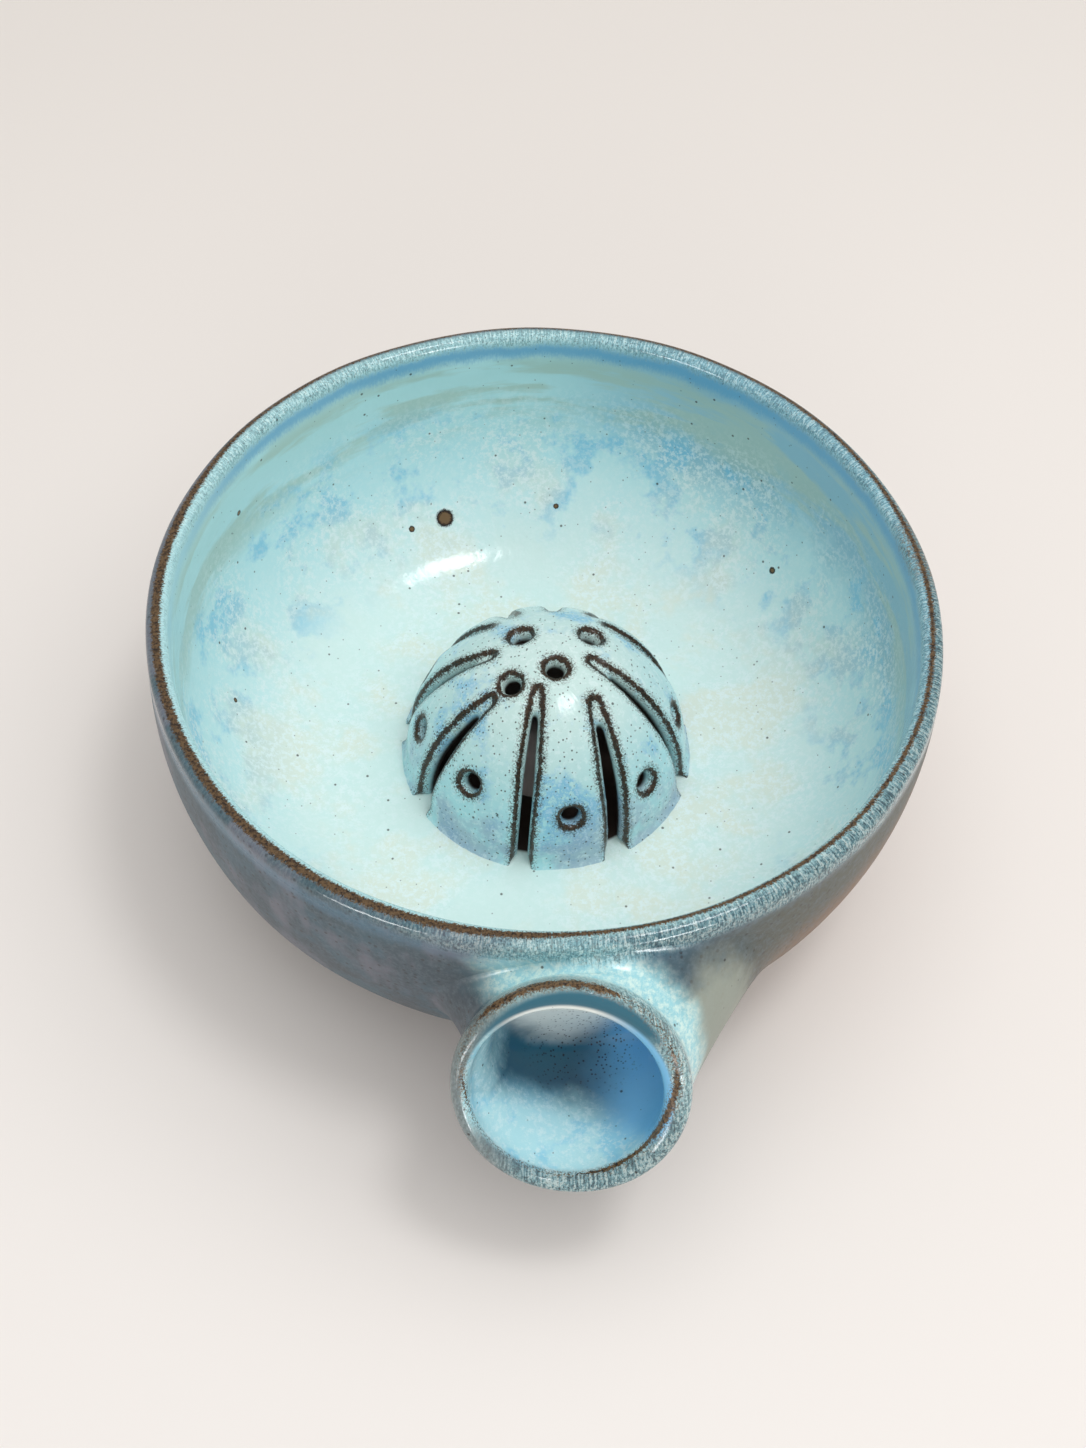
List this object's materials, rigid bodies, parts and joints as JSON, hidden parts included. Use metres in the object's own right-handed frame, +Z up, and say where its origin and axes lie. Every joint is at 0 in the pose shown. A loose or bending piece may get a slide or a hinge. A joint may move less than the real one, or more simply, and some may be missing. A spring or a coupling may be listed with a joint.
{
  "type": "berry colander bowl",
  "caption": "Round footed stoneware bowl with a pierced strainer dome over a drain in its floor and one short hollow handle on its side, for rinsing and serving berries.",
  "frame": {"origin": "on the table, in the middle of the foot ring's flat underside, on the bowl's axis", "axes": "+Z up along the bowl's axis, -Y towards the handle, +X to the right of a person who faces the handle"},
  "size_m": [0.1712, 0.2025, 0.07],
  "materials": {
    "glaze": "glossy pale blue glaze that breaks brown on the edges",
    "bare_clay": "bare fired stoneware, matt"
  },
  "bodies": {
    "root": {"bowl_shell": "glaze", "foot_ring": "bare_clay", "strainer_dome": "glaze", "dome_coil": "glaze", "handle_tube": "glaze", "handle_coil": "glaze"}
  },
  "joints": []
}
